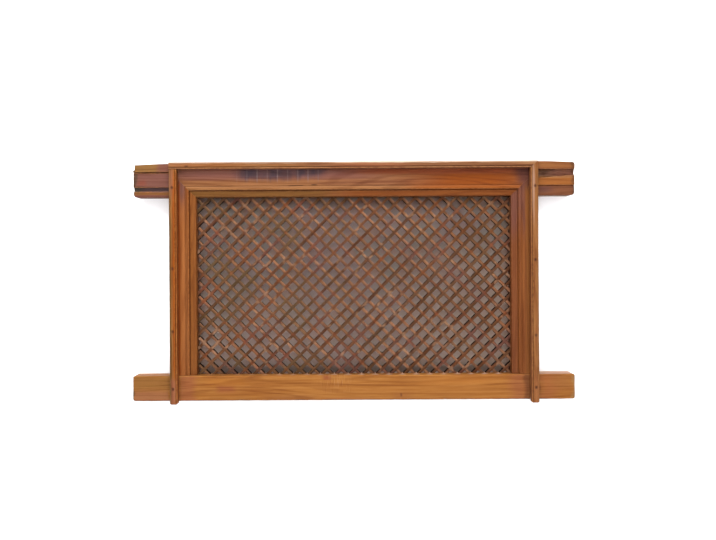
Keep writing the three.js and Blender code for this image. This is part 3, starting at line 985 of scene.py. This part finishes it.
def top_rail_paint(shader, base):
    """The water stain along the upper face, with clean streaks where drops ran down."""
    edge = shader.noise(shader.place, (60.0, 0.0, 4.0), detail=2.0)
    foot = shader.math("MULTIPLY_ADD", edge, -0.03, 0.002)
    short = shader.ease(shader.x, -0.26, -0.15, 0.0, 0.008)
    foot = shader.math("ADD", foot, short)
    down = shader.ease(shader.math("SUBTRACT", shader.z, foot), 0.0, 0.028)
    across = shader.inside(shader.loose_x, -0.405, -0.1, 0.03)
    soaked = shader.math("MULTIPLY", down, across)
    patchy = shader.ease(shader.noise(shader.place, (26.0, 0.0, 6.0), detail=2.0), 0.3, 0.68, 0.5, 0.8)
    base = shader.mix(shader.math("MULTIPLY", soaked, patchy), base, (66.0, 66.0, 82.0))
    phase = shader.math("MULTIPLY_ADD", shader.x, math.tau / 0.0356, 2.86)
    streak = shader.ease(shader.math("COSINE", phase), 0.9, 0.995)
    wet = shader.math("MULTIPLY", across, shader.ease(shader.z, -0.02, 0.012))
    streak = shader.math("MULTIPLY", streak, wet)
    strength = shader.ease(shader.noise(shader.place, (14.0, 0.0, 0.0)), 0.35, 0.65, 0.25, 0.6)
    return shader.mix(shader.math("MULTIPLY", streak, strength), base, (170.0, 144.0, 140.0))


def scratched(shader, base):
    """Short scratches across the grain of the bottom rail."""
    marks = shader.noise(shader.place, (330.0, 0.0, 26.0), detail=1.0)
    where = shader.math(
        "MULTIPLY", shader.inside(shader.x, -0.12, -0.01, 0.014), shader.ease(shader.z, -0.752, -0.73)
    )
    base = shader.mix(
        shader.math("MULTIPLY", shader.ease(marks, 0.56, 0.68, 0.0, 0.6), where), base, (146.0, 84.0, 46.0)
    )
    return shader.mix(
        shader.math("MULTIPLY", shader.ease(marks, 0.44, 0.32, 0.0, 0.5), where), base, (204.0, 148.0, 96.0)
    )


def rubbed_and_highlighted_top(shader, base):
    """The upper front edge of the top batten, rubbed pale and given a painted highlight, brightest in the middle
    and right.
    """
    near = shader.ease(shader.y, -0.075, -0.068, 0.9, 0.25)
    base = shader.patch(base, -650, -100, 60, 55, 64, 1.6, (186, 152, 126), near)
    return shader.patch(base, -100, 650, 60, 54.5, 64, 1.8, (236, 208, 180), near)


def nailed(shader, base):
    return shader.mix(shader.math("MULTIPLY", shader.attribute("stain"), 0.65), base, (74.0, 40.0, 28.0))


def lattice_paint(shader, base):
    """Bars of slightly different wood, greyed and rubbed in places, with a painted highlight and painted shade on
    the front edges and painted shade on their sides.
    """
    tone = shader.attribute("tone")
    base = shader.mix(shader.ease(tone, 0.2, 1.0, 0.0, 0.5), base, (142.0, 90.0, 60.0))
    base = shader.mix(shader.ease(tone, -0.2, -1.0, 0.0, 0.5), base, (98.0, 74.0, 58.0))
    cloud = shader.noise(shader.place, (8.0, 8.0, 8.0), detail=1.0)
    left = shader.ease(shader.x, 0.1, -0.4, 0.25, 0.9)
    green = shader.math("MULTIPLY", shader.ease(cloud, 0.42, 0.62, 0.0, 0.8), left)
    base = shader.mix(green, base, (104.0, 84.0, 58.0))
    mauve = shader.ease(shader.noise(shader.place, (11.0, 11.0, 13.0), detail=1.0), 0.5, 0.68, 0.0, 0.6)
    base = shader.mix(mauve, base, (118.0, 78.0, 72.0))
    bare = shader.noise(shader.place, (42.0, 42.0, 42.0), detail=1.0)
    crossing = shader.math("MULTIPLY", shader.attribute("stain"), shader.ease(bare, 0.5, 0.62))
    base = shader.mix(shader.math("MULTIPLY", crossing, 0.6), base, (160.0, 86.0, 50.0))
    cream = shader.math("MULTIPLY", shader.ease(bare, 0.44, 0.36), shader.ease(cloud, 0.5, 0.42))
    base = shader.mix(shader.math("MULTIPLY", cream, 0.6), base, (176.0, 136.0, 108.0))
    right_top = shader.math("MULTIPLY", shader.ease(shader.x, 0.1, 0.45), shader.ease(shader.z, -0.35, -0.15))
    base = shader.mix(shader.math("MULTIPLY", right_top, 0.3), base, (122.0, 80.0, 44.0))
    # The front edges: a little lighter where rubbed, and on the falling bars a painted highlight on the
    # upper-right edge and painted shade on the lower-left edge.
    edge = shader.attribute("ridge")
    base = shader.mix(shader.ease(edge, 0.1, 0.8, 0.0, 0.7), base, (176.0, 128.0, 98.0))
    base = shader.mix(shader.ease(edge, -0.1, -0.8, 0.0, 0.75), base, (62.0, 40.0, 30.0))
    # Painted shade: the sides of the bars, from just behind the front to just before the back, are painted near
    # black.
    front = (LATTICE_FRONT + 0.6) * MM
    back = (LATTICE_BACK - 0.6) * MM
    inside = shader.ease(shader.y, front, front + 0.0009, 0.0, 0.97)
    inside = shader.math("MULTIPLY", inside, shader.ease(shader.y, back - 0.001, back, 1.0, 0.0))
    return shader.mix(inside, base, (14.0, 8.0, 6.0))


def rust():
    shader = Shader("rusted_iron")
    spots = shader.noise(shader.place, (700.0, 700.0, 700.0), detail=3.0)
    base = shader.mix(shader.ease(spots, 0.35, 0.7), (44.0, 32.0, 28.0), (86.0, 52.0, 36.0))
    shader.surface.inputs["Metallic"].default_value = 0.35
    return shader.finish(base, shader.ease(spots, 0.3, 0.7, 0.5, 0.8), spots, 0.0003)


# The object

rail_wood = wood(
    "rail_wood", "X", (132, 78, 50), (152, 96, 62), (170, 112, 72), TOP_RAIL_PATCHES, top_rail_paint
)
pale_wood = wood(
    "pale_rail_wood", "X", (165, 101, 44), (179, 114, 51), (196, 132, 66), BOTTOM_RAIL_PATCHES, scratched
)
left_stile_wood = wood("left_stile_wood", "Z", (140, 76, 32), (156, 90, 42), (172, 106, 56), LEFT_STILE_PATCHES)
right_stile_wood = wood(
    "right_stile_wood", "Z", (128, 70, 34), (144, 82, 42), (160, 96, 50), RIGHT_STILE_PATCHES, contrast=0.35
)
left_batten_wood = wood(
    "left_batten_wood", "Z", (144, 84, 38), (162, 100, 48), (184, 122, 66), LEFT_BATTEN_PATCHES, nailed
)
right_batten_wood = wood(
    "right_batten_wood", "Z", (138, 78, 40), (156, 96, 52), (178, 122, 72), RIGHT_BATTEN_PATCHES, nailed
)
top_batten_wood = wood("top_batten_wood", "X", (136, 82, 50), (158, 104, 66), (180, 128, 86), TOP_BATTEN_PATCHES, rubbed_and_highlighted_top)
# One lattice wood in two copies: the rising bars painted darker as painted shade, the falling bars lighter as
# painted light.
shaded_rising_wood = wood("shaded_rising_bar_wood", "RISE", (86, 53, 36), (104, 66, 44), (120, 79, 55), paint=lattice_paint)
lit_falling_wood = wood("lit_falling_bar_wood", "FALL", (124, 82, 60), (150, 102, 74), (172, 122, 92), paint=lattice_paint)
iron = rust()

dress(top_rail(), rail_wood, "rail_wood", "top_rail")
dress(bottom_rail(), pale_wood, "pale_rail_wood", "bottom_rail")
dress(stile(-1, "left_stile_wood"), left_stile_wood, "stile_wood", "left_stile")
dress(stile(1, "right_stile_wood"), right_stile_wood, "stile_wood", "right_stile")

rising_bars, falling_bars = Bars(7), Bars(8)
dress(
    lattice_layer("rising_bars", rising_bars, falling_bars, True), shaded_rising_wood, "lattice_wood", "lattice"
)
dress(
    lattice_layer("falling_bars", falling_bars, rising_bars, False), lit_falling_wood, "lattice_wood", "lattice"
)

dress(top_batten(), top_batten_wood, "batten_wood", "top_batten")
for side, word, batten_wood in ((-1, "left", left_batten_wood), (1, "right", right_batten_wood)):
    nodes = [f"{word}_nail_{number}" for number in range(1, 5)]
    heights = []
    for node in nodes:
        low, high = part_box(node)
        heights.append((low.z + high.z) / 2.0 / MM)
        dress(nail(node), iron, "rusted_iron", node)
    dress(side_batten(side, f"{word}_batten_wood", heights), batten_wood, "batten_wood", f"{word}_batten")


# Surroundings

PALE = (0.86, 0.86, 0.87, 1.0)


def card(name, corners, behind=None):
    """A pale plane that shows from its front only. Behind the opening it may carry painted shade."""
    data = bpy.data.meshes.new(name)
    data.from_pydata([Vector(corner) for corner in corners], [], [(0, 1, 2, 3)])
    data.update()
    piece = bpy.data.objects.new(name, data)
    bpy.context.scene.collection.objects.link(piece)
    shader = Shader(name)
    shader.surface.inputs["Roughness"].default_value = 0.9
    shader.surface.inputs["Specular IOR Level"].default_value = 0.1
    shade = behind(shader) if behind else PALE
    shader.set(shader.surface.inputs["Base Color"], shade)
    output = shader.tree.nodes["Material Output"]
    facing = shader.tree.nodes.new("ShaderNodeNewGeometry").outputs["Backfacing"]
    clear = shader.add("ShaderNodeBsdfTransparent").outputs[0]
    mixed = shader.add("ShaderNodeMixShader", Fac=facing)
    shader.tree.links.new(shader.surface.outputs[0], mixed.inputs[1])
    shader.tree.links.new(clear, mixed.inputs[2])
    shader.tree.links.new(mixed.outputs[0], output.inputs["Surface"])
    data.materials.append(shader.material)
    piece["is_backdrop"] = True
    return piece


def shaded_opening(shader):
    """Painted shade on the wall behind the opening: a grey brown that shows through the lattice, lighter lower
    down and to the right, and darker close to the top and bottom rails.
    """
    cloud = shader.noise(shader.place, (26.0, 26.0, 26.0), detail=1.0)
    broad = shader.noise(shader.place, (5.0, 5.0, 5.0), detail=1.0)
    dim = shader.mix(shader.ease(cloud, 0.4, 0.6), (0.49, 0.35, 0.29, 1.0), (0.43, 0.38, 0.34, 1.0))
    dim = shader.mix(shader.ease(broad, 0.4, 0.65, 0.0, 0.5), dim, (0.5, 0.39, 0.39, 1.0))
    dim = shader.mix(shader.ease(shader.z, -0.3, -0.5, 0.0, 0.6), dim, (0.66, 0.52, 0.46, 1.0))
    side = shader.math("MULTIPLY", shader.ease(shader.x, 0.1, 0.5), shader.ease(shader.z, -0.15, -0.4))
    dim = shader.mix(side, dim, (0.62, 0.49, 0.41, 1.0))
    foot = shader.ease(shader.z, (OPENING_BOTTOM + 50.0) * MM, (OPENING_BOTTOM - 5.0) * MM, 0.0, 0.75)
    dim = shader.mix(foot, dim, (0.12, 0.1, 0.09, 1.0))
    head = shader.ease(shader.z, (OPENING_TOP - 45.0) * MM, (OPENING_TOP + 10.0) * MM, 0.0, 0.6)
    dim = shader.mix(head, dim, (0.2, 0.15, 0.12, 1.0))
    across = shader.inside(shader.x, (-HALF_OPENING - 30.0) * MM, (HALF_OPENING + 30.0) * MM, 0.02)
    up = shader.inside(shader.z, (OPENING_BOTTOM - 30.0) * MM, (OPENING_TOP + 30.0) * MM, 0.02)
    return shader.mix(shader.math("MULTIPLY", across, up), PALE, dim)


WALL_Y = 0.02
FLOOR_Z = -1.05
card(
    "wall",
    [(-6.0, WALL_Y, FLOOR_Z), (6.0, WALL_Y, FLOOR_Z), (6.0, WALL_Y, 5.0), (-6.0, WALL_Y, 5.0)],
    shaded_opening,
)
card(
    "floor",
    [(-6.0, -7.0, FLOOR_Z), (6.0, -7.0, FLOOR_Z), (6.0, WALL_Y, FLOOR_Z), (-6.0, WALL_Y, FLOOR_Z)],
)


def lamp(name, place, aim, size, energy, tint=(1.0, 1.0, 1.0)):
    data = bpy.data.lights.new(name, "AREA")
    data.shape = "RECTANGLE"
    data.size, data.size_y = size
    data.energy = energy
    data.color = tint
    piece = bpy.data.objects.new(name, data)
    bpy.context.scene.collection.objects.link(piece)
    piece.location = place
    piece.rotation_euler = (Vector(aim) - Vector(place)).to_track_quat("-Z", "Y").to_euler()
    return piece


lamp("key", (-0.2, -2.1, 2.5), (0.0, 0.0, -0.35), (4.0, 2.0), 330.0)
lamp("fill", (0.4, -4.2, 0.9), (0.0, 0.0, -0.35), (4.0, 3.0), 90.0)

# The wall and the floor don't stand in the way of the light on the back.
rear = lamp("rear", (0.8, 3.2, 1.6), (0.0, 0.0, -0.35), (3.0, 2.0), 130.0)
rear.light_linking.blocker_collection = window

world = bpy.data.worlds.new("pale_room")
bpy.context.scene.world = world
world.use_nodes = True
world.node_tree.nodes["Background"].inputs["Color"].default_value = (1.0, 1.0, 1.0, 1.0)
world.node_tree.nodes["Background"].inputs["Strength"].default_value = 0.45

# Camera
CAMERA_DISTANCE = 2.4
FRAME_WIDTH = 2.499
camera_data = bpy.data.cameras.new("camera")
camera_data.sensor_width = 36.0
camera_data.lens = 36.0 * CAMERA_DISTANCE / FRAME_WIDTH
camera_data.shift_x = 13.6 / 716.0
camera_data.shift_y = -13.3 / 716.0
camera = bpy.data.objects.new("camera", camera_data)
bpy.context.scene.collection.objects.link(camera)
camera.location = (-0.033, FRONT * MM - CAMERA_DISTANCE, -0.271)
camera.rotation_euler = Euler((math.radians(90.0), math.radians(0.33), 0.0), "XYZ")
bpy.context.scene.camera = camera
bpy.context.scene.view_settings.view_transform = "Standard"

low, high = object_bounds()
